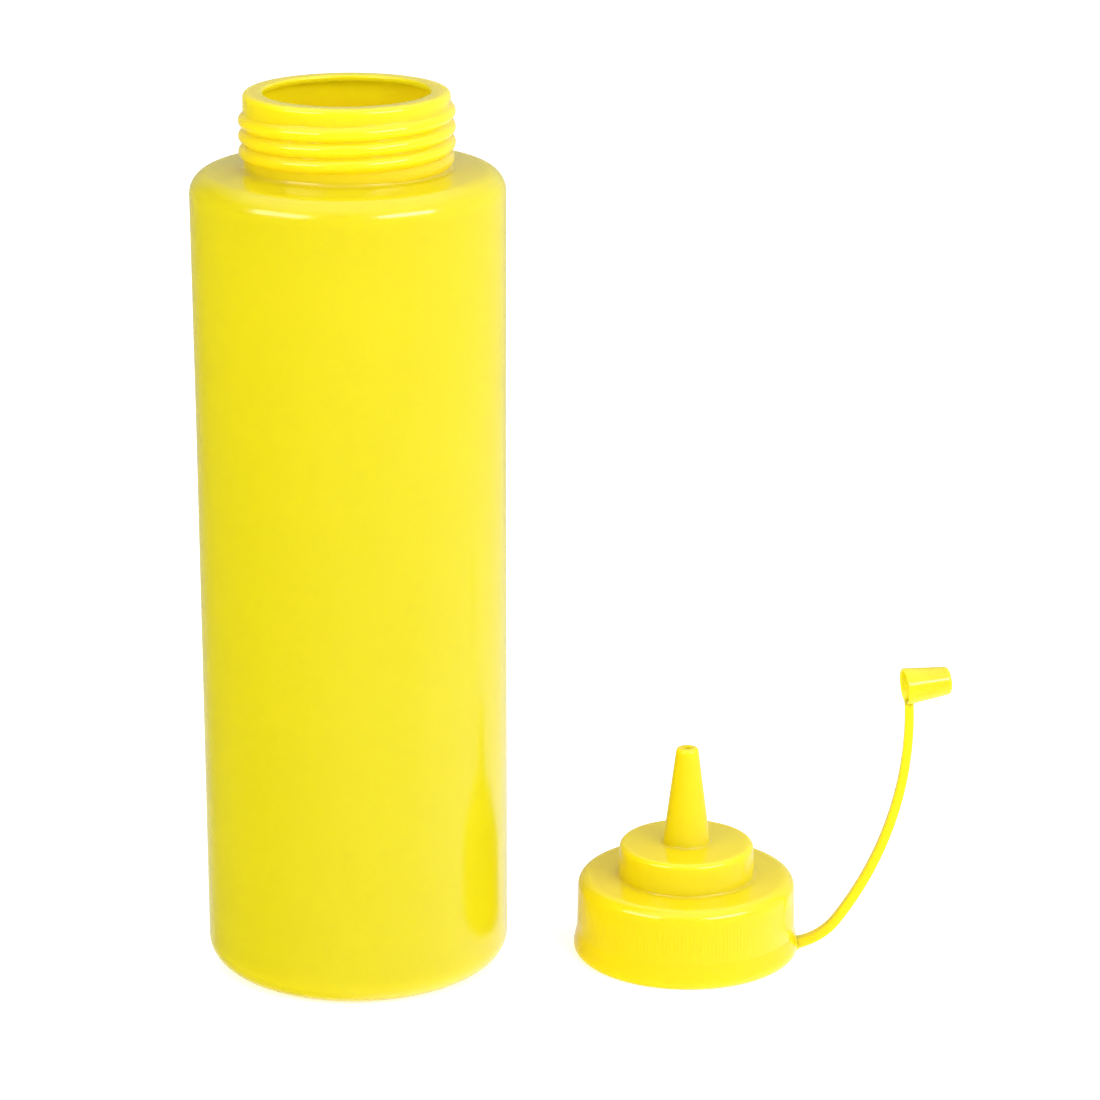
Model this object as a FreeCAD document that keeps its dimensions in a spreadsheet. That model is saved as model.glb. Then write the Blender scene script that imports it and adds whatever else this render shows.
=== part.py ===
"""Condiment squeeze bottle: a blow-moulded bottle, and beside it the screw cap that
was taken off it.  The cap, its pouring nozzle, the strap and the tip cap on the
strap's end are one moulding.

Millimetres, +Z up.  The origin is on the bottle's axis, in the plane that the
bottle and the cap stand on.  The bottle is along Z, the cap stands at +X of it and
its strap leans out further along +X.
"""

import FreeCAD, Part
import math
import os
import re
import Sketcher

# Each row is a cell of the sheet: its alias, its value and what it measures.
SIZES = [
    # The bottle's body
    ("bottle_height", 229.3, "height of the bottle over its rim"),
    ("body_radius", 39.5, "outer radius of the body under the shoulder"),
    ("waist_inset", 0.62, "how much narrower the body's radius is at its waist"),
    ("waist_height", 76.0, "height of the body's waist"),
    ("foot_inset", 0.4, "how much narrower the body's radius is at its foot"),
    ("shoulder_rise", 1.0, "rise of the shoulder from its outer edge to the neck"),
    ("wall", 1.3, "wall of the blown body"),
    ("foot_corner", 7.0, "outer rounding of the foot"),
    ("shoulder_corner", 5.6, "outer rounding of the shoulder"),
    ("standing_ring", 2.6, "width of the flat ring that the bottle stands on"),
    ("push_up", 3.2, "height of the base panel above the standing ring"),
    ("push_up_slope", 6.0, "width of the sloping band round the base panel"),
    ("base_blend", 2.0, "roundings of the base panel"),
    # The bottle's neck
    ("neck_height", 19.1, "height of the neck over the shoulder"),
    ("neck_radius", 25.8, "outer radius of the neck between the thread's ridges"),
    ("neck_wall", 1.9, "wall of the neck"),
    ("neck_root", 1.3, "rounding between neck and shoulder"),
    ("thread_height", 1.2, "how far the thread's ridges stand out of the neck"),
    ("lip_width", 4.9, "width of the rim with the lip that turns in from it"),
    ("lip_thickness", 1.8, "thickness of that lip"),
    ("rim_edge", 1.3, "rounding of the rim's outer edge"),
    ("lip_edge", 0.6, "rounding of the lip's inner edge"),
    # The cap, measured from its own axis and foot
    ("cap_gap", 17.05, "gap along X between the bottle's body and the cap's flange"),
    ("cap_setback", 1.9, "place of the cap's axis along Y"),
    ("flange_width", 0.9, "how far the flange at the cap's foot stands out"),
    ("flange_height", 2.6, "height of the flange's straight side"),
    ("flare_height", 4.0, "height of the hollow flare from flange to skirt"),
    ("flange_edge", 2.0, "rounding under the flange"),
    ("skirt_wall", 1.45, "wall of the skirt just above the flange"),
    ("skirt_draft", 0.32, "how much narrower the skirt's radius is at its top"),
    ("shelf_wall", 1.5, "thickness of the shelf and of the step's top"),
    ("shelf_edge", 3.2, "rounding of the shelf's outer edge"),
    ("shelf_inside", 1.2, "rounding inside the skirt under the shelf"),
    ("step_radius", 17.85, "radius of the raised step at its base"),
    ("step_draft", 0.4, "how much narrower the step's radius is at its top"),
    ("step_rise", 8.85, "height of the step over the shelf"),
    ("step_edge", 1.5, "rounding of the step's upper edge"),
    ("step_wall", 1.4, "wall of the step and of the nozzle's base"),
    ("step_root", 0.8, "roundings at the foot of the step and of the nozzle"),
    ("nozzle_radius", 6.2, "radius of the nozzle at its base"),
    ("tip_radius", 2.85, "radius of the nozzle at its tip"),
    ("nozzle_length", 26.1, "height of the nozzle's tip over the step"),
    ("tip_edge", 0.9, "rounding of the nozzle's tip"),
    ("spout_radius", 1.0, "radius of the hole in the tip"),
    ("spout_land", 2.5, "length over which the hole stays that narrow"),
    # How cap and bottle fit together
    ("thread_clearance", 0.15, "play between the thread's ridges and the skirt"),
    ("foot_clearance", 0.6, "gap over the shoulder when the cap is screwed down"),
    ("seal_depth", 1.25, "height of the ring under the shelf that seals the rim"),
    ("seal_inset", 0.6, "how far that ring stays inside the rim's flat"),
    # The strap, bent up from the flange in the plane of the cap's axis
    ("strap_height", 1.6, "height of the strap's root on the flange"),
    ("strap_rise", 7.5, "slope of the strap at its root, in degrees"),
    ("curl_radius", 16.6, "radius of the strap's tight bend at the flange"),
    ("curl_turn", 46.5, "turn of that bend, in degrees"),
    ("arch_radius", 93.6, "radius of the strap's long bend"),
    ("arch_turn", 39.2, "turn of that bend, in degrees"),
    ("strap_width", 3.4, "width of the strap"),
    ("root_thickness", 2.5, "thickness of the strap at the flange"),
    ("curl_thickness", 1.9, "thickness of the strap after its tight bend"),
    ("end_thickness", 1.75, "thickness of the strap at the tip cap"),
    ("strap_edge", 0.7, "rounding of the strap's long edges"),
    ("strap_root", 0.5, "rounding where the strap leaves the flange"),
    # The tip cap on the strap's end
    ("tip_cap_wall", 0.7, "wall of the tip cap"),
    ("tip_clearance", 0.05, "play of the tip cap on the nozzle"),
    ("tip_grip", 9.6, "how far the tip cap slides down the nozzle"),
    ("tip_room", 1.7, "room left between the nozzle's tip and the cap's end"),
    ("tip_cap_edge", 1.0, "rounding of the tip cap's closed end"),
    ("tip_lip_edge", 0.25, "rounding of the rim of its mouth"),
    ("tip_cap_rise", 4.8, "slope of the tip cap's axis, in degrees"),
    ("tip_cap_turn", 11.0, "turn of its mouth out of the strap's plane, in degrees"),
]
NAMES = {row[0] for row in SIZES}

# Sizes that follow from others.
FOOT_RADIUS = "(body_radius - foot_inset)"
WAIST_RADIUS = "(body_radius - waist_inset)"
NECK_FOOT = "(bottle_height - neck_height)"
SHOULDER_HEIGHT = f"({NECK_FOOT} - shoulder_rise)"
MOUTH_RADIUS = "(neck_radius - lip_width)"
NECK_BORE = "(neck_radius - neck_wall)"
LIP_UNDERSIDE = "(bottle_height - lip_thickness)"
RING_INSIDE = f"({FOOT_RADIUS} - foot_corner - standing_ring)"
PANEL_RADIUS = f"({RING_INSIDE} - push_up_slope)"

CAP_BORE = "(neck_radius + thread_height + thread_clearance)"
SKIRT_FOOT = "(flange_height + flare_height)"
SKIRT_RADIUS = f"({CAP_BORE} + skirt_wall)"
SKIRT_TOP_RADIUS = f"({SKIRT_RADIUS} - skirt_draft)"
FLANGE_RADIUS = f"({SKIRT_RADIUS} + flange_width)"
SEAL_FOOT = "(neck_height - foot_clearance)"
SEAL_INSIDE = f"({MOUTH_RADIUS} + lip_edge + seal_inset)"
SEAL_OUTSIDE = "(neck_radius - rim_edge - seal_inset)"
SHELF_UNDERSIDE = f"({SEAL_FOOT} + seal_depth)"
SHELF_HEIGHT = f"({SHELF_UNDERSIDE} + shelf_wall)"
STEP_HEIGHT = f"({SHELF_HEIGHT} + step_rise)"
STEP_UNDERSIDE = f"({STEP_HEIGHT} - shelf_wall)"
STEP_TOP_RADIUS = "(step_radius - step_draft)"
TIP_HEIGHT = f"({STEP_HEIGHT} + nozzle_length)"
NOZZLE_TAPER = "((nozzle_radius - tip_radius) / nozzle_length)"
CAP_X = f"(body_radius + cap_gap + {FLANGE_RADIUS})"

ROOT_X = f"(({CAP_BORE} + {FLANGE_RADIUS}) / 2)"
ROOT_Z = "strap_height"
CURL_END = "(strap_rise + curl_turn)"
ARCH_END = f"({CURL_END} + arch_turn)"
CURL_X = f"({ROOT_X} + curl_radius * (sin{CURL_END} - sin(strap_rise)))"
CURL_Z = f"({ROOT_Z} + curl_radius * (cos(strap_rise) - cos{CURL_END}))"
ARCH_X = f"({CURL_X} + arch_radius * (sin{ARCH_END} - sin{CURL_END}))"
ARCH_Z = f"({CURL_Z} + arch_radius * (cos{CURL_END} - cos{ARCH_END}))"

TIP_BORE_END = "(tip_radius + tip_clearance)"
TIP_BORE_MOUTH = f"({TIP_BORE_END} + tip_grip * {NOZZLE_TAPER})"
TIP_MOUTH = f"({TIP_BORE_MOUTH} + tip_cap_wall)"
TIP_LENGTH = "(tip_grip + tip_room + tip_cap_wall)"
# The strap's end is let into two thirds of the tip cap's wall, under its mouth.
TIP_X = f"({ARCH_X} - end_thickness / 2 - {TIP_MOUTH} * sin(tip_cap_rise))"
TIP_Z = f"({ARCH_Z} + {TIP_MOUTH} * cos(tip_cap_rise) - tip_cap_wall * 2 / 3)"

# How close two lengths must be to count as the same.
NEAR = 0.001

doc = FreeCAD.newDocument("SqueezeBottle")


def make_sheet():
    """The driving dimensions: meaning in column A, value in column B."""
    sheet = doc.addObject("Spreadsheet::Sheet", "Sizes")
    for line, (alias, size, meaning) in enumerate(SIZES, start=1):
        sheet.set(f"A{line}", meaning)
        sheet.set(f"B{line}", str(size))
        sheet.setAlias(f"B{line}", alias)
    doc.recompute()
    return sheet


def bound(expression):
    """The expression with each size's name pointing at its cell."""

    def point_at_cell(word):
        name = word.group()
        return f"Sizes.{name}" if name in NAMES else name

    return re.sub(r"[a-z_]+", point_at_cell, expression)


def value(expression):
    """The number that the expression has now."""
    return float(sheet.evalExpression(bound(expression)))


def origin_plane(body, role):
    """The body's own XY, XZ or YZ plane."""
    for feature in body.Origin.OriginFeatures:
        if feature.Role == role:
            return feature
    raise ValueError(f"{body.Name} has no {role}")


def new_body(name):
    body = doc.addObject("PartDesign::Body", name)
    body.Label = name
    return body


def new_sketch(body, name, role):
    sketch = body.newObject("Sketcher::SketchObject", name)
    sketch.AttachmentSupport = (origin_plane(body, role), [""])
    sketch.MapMode = "FlatFace"
    return sketch


def tie_point(sketch, edge, end, across, along):
    """Holds one end of an edge at two expressions from the sketch's origin."""
    for kind, axis, expression in (("X", -2, across), ("Y", -1, along)):
        if expression == "0":
            sketch.addConstraint(Sketcher.Constraint("PointOnObject", edge, end, axis))
            continue
        constraint = Sketcher.Constraint(
            "Distance" + kind, -1, 1, edge, end, value(expression)
        )
        number = sketch.addConstraint(constraint)
        label = f"{kind.lower()}_{edge}_{end}"
        sketch.renameConstraint(number, label)
        sketch.setExpression(f"Constraints.{label}", bound(expression))


def draw_outline(sketch, corners):
    """A closed outline of straight lines through corners given as expressions."""
    points = [FreeCAD.Vector(value(x), value(y), 0) for x, y in corners]
    count = len(points)
    for number in range(count):
        side = Part.LineSegment(points[number], points[(number + 1) % count])
        sketch.addGeometry(side, False)
    for number in range(count):
        joint = Sketcher.Constraint("Coincident", number, 2, (number + 1) % count, 1)
        sketch.addConstraint(joint)
    for number, (x, y) in enumerate(corners):
        tie_point(sketch, number, 1, x, y)
    doc.recompute()


def revolve(body, name, sketch, axis):
    """The sketch turned right round one of its own axes."""
    turned = body.newObject("PartDesign::Revolution", name)
    turned.Profile = sketch
    turned.ReferenceAxis = (sketch, [axis])
    turned.Angle = 360
    doc.recompute()
    return turned


def ring_edges(shape, radius, height):
    """Names of the circular edges about the body's axis at one radius and height."""
    names = []
    for number, edge in enumerate(shape.Edges, start=1):
        if not isinstance(edge.Curve, Part.Circle):
            continue
        centre = edge.Curve.Center
        on_axis = math.hypot(centre.x, centre.y) < NEAR
        same_size = abs(edge.Curve.Radius - radius) < NEAR
        if on_axis and same_size and abs(centre.z - height) < NEAR:
            names.append(f"Edge{number}")
    return names


def round_edges(body, name, radius, edges):
    """Rounds edges of the body's last feature, given by their names."""
    if not edges:
        raise ValueError(f"{name}: its edges were not found")
    base = body.Tip
    rounding = body.newObject("PartDesign::Fillet", name)
    rounding.Base = (base, edges)
    rounding.setExpression("Radius", bound(radius))
    doc.recompute()


def round_rings(body, name, radius, rings):
    """Rounds circular edges, each given by its radius and height."""
    edges = []
    for ring_radius, height in rings:
        edges += ring_edges(body.Tip.Shape, value(ring_radius), value(height))
    round_edges(body, name, radius, edges)


def make_bottle():
    """One turned wall: base with push-up, drafted side, shoulder and neck."""
    body = new_body("bottle")
    section = new_sketch(body, "bottle_wall_section", "XZ_Plane")
    draw_outline(
        section,
        [
            ("0", "push_up"),
            (PANEL_RADIUS, "push_up"),
            (RING_INSIDE, "0"),
            (FOOT_RADIUS, "0"),
            (WAIST_RADIUS, "waist_height"),
            ("body_radius", SHOULDER_HEIGHT),
            ("neck_radius", NECK_FOOT),
            ("neck_radius", "bottle_height"),
            (MOUTH_RADIUS, "bottle_height"),
            (MOUTH_RADIUS, LIP_UNDERSIDE),
            (NECK_BORE, LIP_UNDERSIDE),
            (NECK_BORE, f"{NECK_FOOT} - wall"),
            ("body_radius - wall", f"{SHOULDER_HEIGHT} - wall"),
            (f"{WAIST_RADIUS} - wall", "waist_height"),
            (f"{FOOT_RADIUS} - wall", "wall"),
            (RING_INSIDE, "wall"),
            (PANEL_RADIUS, "push_up + wall"),
            ("0", "push_up + wall"),
        ],
    )
    revolve(body, "bottle_wall", section, "V_Axis")
    round_rings(body, "foot_outside", "foot_corner", [(FOOT_RADIUS, "0")])
    round_rings(
        body, "foot_inside", "foot_corner - wall", [(f"{FOOT_RADIUS} - wall", "wall")]
    )
    round_rings(
        body,
        "shoulder_outside",
        "shoulder_corner",
        [("body_radius", SHOULDER_HEIGHT)],
    )
    round_rings(
        body,
        "shoulder_inside",
        "shoulder_corner - wall",
        [("body_radius - wall", f"{SHOULDER_HEIGHT} - wall")],
    )
    round_rings(
        body,
        "base_panel_blends",
        "base_blend",
        [
            (PANEL_RADIUS, "push_up"),
            (RING_INSIDE, "0"),
            (RING_INSIDE, "wall"),
            (PANEL_RADIUS, "push_up + wall"),
        ],
    )
    round_rings(body, "neck_blend", "neck_root", [("neck_radius", NECK_FOOT)])
    round_rings(body, "rim_outside", "rim_edge", [("neck_radius", "bottle_height")])
    round_rings(
        body,
        "rim_inside",
        "lip_edge",
        [(MOUTH_RADIUS, "bottle_height"), (MOUTH_RADIUS, LIP_UNDERSIDE)],
    )
    return body


def make_cap_shell(body):
    """Flange, skirt, shelf, step and nozzle as one turned wall."""
    section = new_sketch(body, "cap_wall_section", "XZ_Plane")
    draw_outline(
        section,
        [
            ("spout_radius", TIP_HEIGHT),
            ("tip_radius", TIP_HEIGHT),
            ("nozzle_radius", STEP_HEIGHT),
            (STEP_TOP_RADIUS, STEP_HEIGHT),
            ("step_radius", SHELF_HEIGHT),
            (SKIRT_TOP_RADIUS, SHELF_HEIGHT),
            (SKIRT_RADIUS, SKIRT_FOOT),
            (FLANGE_RADIUS, "flange_height"),
            (FLANGE_RADIUS, "0"),
            (CAP_BORE, "0"),
            (CAP_BORE, SHELF_UNDERSIDE),
            (SEAL_OUTSIDE, SHELF_UNDERSIDE),
            (SEAL_OUTSIDE, SEAL_FOOT),
            (SEAL_INSIDE, SEAL_FOOT),
            (SEAL_INSIDE, SHELF_UNDERSIDE),
            ("step_radius - step_wall", SHELF_UNDERSIDE),
            (f"{STEP_TOP_RADIUS} - step_wall", STEP_UNDERSIDE),
            ("nozzle_radius - step_wall", STEP_UNDERSIDE),
            ("spout_radius", f"{TIP_HEIGHT} - spout_land"),
        ],
    )
    revolve(body, "cap_wall", section, "V_Axis")
    round_rings(body, "flange_underside", "flange_edge", [(FLANGE_RADIUS, "0")])
    round_rings(
        body, "skirt_flare", "flare_height", [(SKIRT_RADIUS, SKIRT_FOOT)]
    )
    round_rings(
        body, "shelf_rounding", "shelf_edge", [(SKIRT_TOP_RADIUS, SHELF_HEIGHT)]
    )
    round_rings(
        body, "shelf_blend_inside", "shelf_inside", [(CAP_BORE, SHELF_UNDERSIDE)]
    )
    round_rings(
        body,
        "step_rounding",
        "step_edge",
        [(STEP_TOP_RADIUS, STEP_HEIGHT)],
    )
    round_rings(
        body,
        "step_blends",
        "step_root",
        [("step_radius", SHELF_HEIGHT), ("nozzle_radius", STEP_HEIGHT)],
    )
    round_rings(body, "tip_rounding", "tip_edge", [("tip_radius", TIP_HEIGHT)])


def strap_section(body, name, x, z, slope, thickness):
    """A rounded rectangle square to the strap, at one place along it."""
    sketch = new_sketch(body, name, "XY_Plane")
    lean = f"90 - {slope}"
    place = FreeCAD.Vector(value(x), 0, value(z))
    turn = FreeCAD.Rotation(FreeCAD.Vector(0, 1, 0), value(lean))
    sketch.AttachmentOffset = FreeCAD.Placement(place, turn)
    sketch.setExpression("AttachmentOffset.Base.x", bound(x))
    sketch.setExpression("AttachmentOffset.Base.z", bound(z))
    sketch.setExpression("AttachmentOffset.Rotation.Angle", bound(lean))
    outer_x = f"{thickness} / 2"
    outer_y = "strap_width / 2"
    inner_x = f"({outer_x} - strap_edge)"
    inner_y = f"({outer_y} - strap_edge)"
    # Where each rounded corner starts and ends, going round the section.
    corners = [
        ((outer_x, inner_y), (inner_x, outer_y)),
        (("-" + inner_x, outer_y), ("-" + outer_x, inner_y)),
        (("-" + outer_x, "-" + inner_y), ("-" + inner_x, "-" + outer_y)),
        ((inner_x, "-" + outer_y), (outer_x, "-" + inner_y)),
    ]
    edge = value("strap_edge")
    quarter = math.pi / 2
    for number, (start, end) in enumerate(corners):
        # The centre shares one coordinate with each end of its arc.
        centre_x = value(start[0] if number % 2 else end[0])
        centre_y = value(end[1] if number % 2 else start[1])
        centre = FreeCAD.Vector(centre_x, centre_y, 0)
        circle = Part.Circle(centre, FreeCAD.Vector(0, 0, 1), edge)
        first = number * quarter
        sketch.addGeometry(Part.ArcOfCircle(circle, first, first + quarter), False)
        next_start = corners[(number + 1) % 4][0]
        flat_start = FreeCAD.Vector(value(end[0]), value(end[1]), 0)
        flat_end = FreeCAD.Vector(value(next_start[0]), value(next_start[1]), 0)
        sketch.addGeometry(Part.LineSegment(flat_start, flat_end), False)
    for number, (start, end) in enumerate(corners):
        arc = 2 * number
        flat = arc + 1
        next_arc = flat + 1 if number < 3 else 0
        tie_point(sketch, arc, 1, *start)
        tie_point(sketch, arc, 2, *end)
        sketch.addConstraint(Sketcher.Constraint("Coincident", arc, 2, flat, 1))
        sketch.addConstraint(Sketcher.Constraint("Coincident", flat, 2, next_arc, 1))
        radius = sketch.addConstraint(Sketcher.Constraint("Radius", arc, edge))
        sketch.renameConstraint(radius, f"corner_{number}")
        sketch.setExpression(f"Constraints.corner_{number}", bound("strap_edge"))
    doc.recompute()
    return sketch


def strap_bend(body, name, start, end, radius):
    """One arc of the strap's centre line, turning upward from start to end."""
    sketch = new_sketch(body, name, "XZ_Plane")
    (start_x, start_z, start_slope), (end_x, end_z, end_slope) = start, end
    size = value(radius)
    centre = FreeCAD.Vector(
        value(f"{start_x} - {radius} * sin({start_slope})"),
        value(f"{start_z} + {radius} * cos({start_slope})"),
        0,
    )
    first = math.radians(value(start_slope) - 90)
    last = math.radians(value(end_slope) - 90)
    circle = Part.Circle(centre, FreeCAD.Vector(0, 0, 1), size)
    sketch.addGeometry(Part.ArcOfCircle(circle, first, last), False)
    tie_point(sketch, 0, 1, start_x, start_z)
    tie_point(sketch, 0, 2, end_x, end_z)
    number = sketch.addConstraint(Sketcher.Constraint("Radius", 0, size))
    sketch.renameConstraint(number, "bend")
    sketch.setExpression("Constraints.bend", bound(radius))
    doc.recompute()
    return sketch


def sweep(body, name, first_section, path, last_section):
    """A solid along the path that tapers from one section to the other."""
    pipe = body.newObject("PartDesign::AdditivePipe", name)
    pipe.Profile = first_section
    pipe.Spine = (path, ["Edge1"])
    pipe.Transformation = "Multisection"
    pipe.Sections = [last_section]
    doc.recompute()
    return pipe


def make_strap(body):
    """The strap leaves the flange in a tight bend and rises in a long one."""
    root = (ROOT_X, ROOT_Z, "strap_rise")
    curl = (CURL_X, CURL_Z, CURL_END)
    arch = (ARCH_X, ARCH_Z, ARCH_END)
    root_section = strap_section(body, "strap_root_section", *root, "root_thickness")
    curl_section = strap_section(body, "strap_curl_section", *curl, "curl_thickness")
    arch_section = strap_section(body, "strap_end_section", *arch, "end_thickness")
    curl_path = strap_bend(body, "strap_curl_path", root, curl, "curl_radius")
    arch_path = strap_bend(body, "strap_arch_path", curl, arch, "arch_radius")
    sweep(body, "strap_curl", root_section, curl_path, curl_section)
    sweep(body, "strap_arch", curl_section, arch_path, arch_section)


def strap_root_edges(shape):
    """Names of the edges where the strap meets the flange's outside."""
    flange = value(FLANGE_RADIUS)
    rounding = value("flange_edge")
    skirt_foot = value(SKIRT_FOOT)
    width = value("strap_width")
    names = []
    for number, edge in enumerate(shape.Edges, start=1):
        ends = [vertex.Point for vertex in edge.Vertexes]
        radii = [math.hypot(p.x, p.y) for p in ends]
        on_flange = all(flange - rounding < r < flange + NEAR for r in radii)
        on_strap = all(p.x > 0 and abs(p.y) <= width for p in ends)
        below_skirt = all(p.z < skirt_foot - NEAR for p in ends)
        on_seam = all(abs(p.y) < NEAR for p in ends)
        if on_flange and on_strap and below_skirt and not on_seam:
            names.append(f"Edge{number}")
    return names


def circles_of_radius(shape, radius):
    """Names of the circular edges of one radius, wherever they are."""
    size = value(radius)
    names = []
    for number, edge in enumerate(shape.Edges, start=1):
        if isinstance(edge.Curve, Part.Circle) and abs(edge.Curve.Radius - size) < NEAR:
            names.append(f"Edge{number}")
    return names


def make_tip_cap(body):
    """A cup with the nozzle's taper, its mouth on the strap's end."""
    section = new_sketch(body, "tip_cap_wall_section", "XZ_Plane")
    place = FreeCAD.Vector(value(TIP_X), value(TIP_Z), 0)
    turn = FreeCAD.Rotation(value("tip_cap_rise"), value("tip_cap_turn"), 0)
    section.AttachmentOffset = FreeCAD.Placement(place, turn)
    section.setExpression("AttachmentOffset.Base.x", bound(TIP_X))
    section.setExpression("AttachmentOffset.Base.y", bound(TIP_Z))
    section.setExpression("AttachmentOffset.Rotation.Yaw", bound("tip_cap_rise"))
    section.setExpression("AttachmentOffset.Rotation.Pitch", bound("tip_cap_turn"))
    draw_outline(
        section,
        [
            ("0", TIP_BORE_MOUTH),
            ("0", TIP_MOUTH),
            (TIP_LENGTH, f"{TIP_BORE_END} + tip_cap_wall"),
            (TIP_LENGTH, "0"),
            (f"{TIP_LENGTH} - tip_cap_wall", "0"),
            (f"{TIP_LENGTH} - tip_cap_wall", TIP_BORE_END),
            ("tip_grip", TIP_BORE_END),
        ],
    )
    revolve(body, "tip_cap_wall", section, "H_Axis")
    end = circles_of_radius(body.Tip.Shape, f"{TIP_BORE_END} + tip_cap_wall")
    round_edges(body, "tip_cap_rounding", "tip_cap_edge", end)
    lip = circles_of_radius(body.Tip.Shape, TIP_MOUTH)
    round_edges(body, "tip_lip_rounding", "tip_lip_edge", lip)


def make_cap():
    body = new_body("cap")
    make_cap_shell(body)
    make_strap(body)
    root = strap_root_edges(body.Tip.Shape)
    round_edges(body, "strap_root_rounding", "strap_root", root)
    make_tip_cap(body)
    body.setExpression("Placement.Base.x", bound(CAP_X))
    body.setExpression("Placement.Base.y", bound("cap_setback"))
    return body


def check_document():
    """Stops at any object that failed without saying so."""
    for item in doc.Objects:
        if "Invalid" in item.State or "Error" in item.State:
            raise RuntimeError(f"{item.Name} failed: {item.State}")


def export(body):
    """Writes one sub-part to the file that its label names."""
    shape = body.Shape
    if shape.isNull() or not shape.isValid():
        raise RuntimeError(f"{body.Label} is not a valid shape")
    if len(shape.Solids) != 1:
        raise RuntimeError(f"{body.Label} is not one solid")
    shape.exportStep(os.path.join("parts", f"{body.Label}.step"))
    print(f"{body.Label}: {shape.Volume:.0f} cubic millimetres")


sheet = make_sheet()
bodies = [make_bottle(), make_cap()]
doc.recompute()
check_document()
os.makedirs("parts", exist_ok=True)
for finished in bodies:
    export(finished)
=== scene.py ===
"""Condiment squeeze bottle with its screw cap beside it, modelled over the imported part.

Run as a script in Blender 4.5.  It loads the part as a fixed frame, models each
visible piece over it and sets a plain studio stage.  Lengths are metres, +Z is up
and the origin is on the bottle's axis, on the floor.
"""

import math

import bmesh
import bpy
from bpy.props import (
    FloatProperty,
    FloatVectorProperty,
    IntProperty,
    PointerProperty,
)
from mathutils import Matrix, Vector


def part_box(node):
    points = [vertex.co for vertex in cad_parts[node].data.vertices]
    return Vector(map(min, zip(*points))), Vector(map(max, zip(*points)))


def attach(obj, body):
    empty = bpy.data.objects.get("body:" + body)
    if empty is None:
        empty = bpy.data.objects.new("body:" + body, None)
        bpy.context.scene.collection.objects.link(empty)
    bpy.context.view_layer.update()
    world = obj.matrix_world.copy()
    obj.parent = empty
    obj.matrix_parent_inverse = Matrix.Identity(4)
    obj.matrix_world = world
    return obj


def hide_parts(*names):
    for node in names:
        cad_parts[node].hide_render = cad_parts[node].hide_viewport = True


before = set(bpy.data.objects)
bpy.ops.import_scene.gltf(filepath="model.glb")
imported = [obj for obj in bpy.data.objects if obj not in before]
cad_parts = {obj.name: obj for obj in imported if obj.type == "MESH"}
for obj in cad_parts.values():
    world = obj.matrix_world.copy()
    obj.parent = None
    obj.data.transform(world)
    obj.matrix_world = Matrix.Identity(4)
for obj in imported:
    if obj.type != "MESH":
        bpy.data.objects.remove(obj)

bl_info = {
    "name": "Condiment squeeze bottle",
    "version": (1, 0, 0),
    "blender": (4, 5, 0),
    "location": "View3D > Sidebar > Squeeze bottle",
    "description": "Models a squeeze bottle, its screw cap, strap and tip cap",
    "category": "Add Mesh",
}

MM = 0.001
BOTTLE_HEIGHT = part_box("bottle")[1].z
CAP_LOW, CAP_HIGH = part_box("cap")
# Vertices closer than this are the same point.
SAME = 1e-6
# A vertex this near a turned wall lies on it.
ON_WALL = 0.05 * MM
# Edges sharper than this, in degrees, stay crisp when a piece is shaded smooth.
CRISP_EDGE = 40.0

# Cuts along an upright wall that carries a thread, and along the waist's curve.
THREAD_CUTS = 79
WAIST_STEPS = 24
# A thread's turns count in degrees from +X, and its height is given at the front.
FRONT_TURN = 270
# Whole turns that a place on the wall may lie on.
WHOLE_TURNS = range(-4, 3)
# Where a thread reaches and leaves its full height, and its run-outs, in degrees.
NECK_THREAD = {"first": -640, "last": 400, "fade": 190, "end_fade": 40}
CAP_THREAD = {"first": -640, "last": 220, "fade": 60, "end_fade": 60}
CAP_THREAD_TOP = 16.0 * MM
CAP_THREAD_WIDTH = 1.8 * MM
CAP_THREAD_LEAD_IN = 1.5 * MM
# A ridge's section: the first flattens its crest, the second hollows its flanks.
CREST_POWER = 2.3
FLANK_POWER = 1.15

# The strap starts this turn, in radians, inside the flange.
STRAP_SINK = 0.06
ROOT_STEPS = 8
CURL_STEPS = 30
ARCH_STEPS = 60
STRAP_EDGE_STEPS = 6
# The middle of the tip cap's mouth, from the cap's axis on the floor.
TIP_CAP_PLACE = (56.039 * MM, 0, 72.891 * MM)
TIP_CAP_STEPS = 96
MOUTH_OUTER_EDGE = 0.25 * MM
MOUTH_INNER_EDGE = 0.15 * MM
TIP_CAP_INNER_EDGE = 0.5 * MM
# The tip cap's bore runs straight over this last stretch.
STRAIGHT_BORE = 2.4 * MM

# How far light soaks into the thin blown wall and into the moulded one.
BOTTLE_SCATTER = 7.5 * MM
CAP_SCATTER = 4.0 * MM
# Red and green go all the way in, and blue is soaked up near the surface.
SCATTER_BY_COLOUR = (1.0, 1.0, 0.2)
PLASTIC_IOR = 1.51
# Slow waves in the skin: distance from crest to crest, depth and strength.
WAVE_SPACING = 9.09 * MM
WAVE_DEPTH = 0.2 * MM
WAVE_STRENGTH = 0.05
# Clouds in the pigment: distance across, spread of the noise, and the deeper tone.
CLOUD_SPACING = 30.3 * MM
CLOUD_SPREAD = (0.3, 0.7)
DEEPER_PIGMENT = 0.96
# How far the roughness goes under and over its own value.
RUBBED_ROUGHNESS = (-0.02, 0.03)
# Ribs about 1 mm apart round the skirt, because finer ones would not show.
RIB_COUNT = 180
RIB_HEIGHT = 0.03 * MM
RIB_FADE = 4.0 * MM

FLOOR_SIZE = 6.0
PAPER_WHITE = "#F3F3F3"
PAPER_ROUGHNESS = 0.9
PAPER_EMISSION = 0.5
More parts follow.
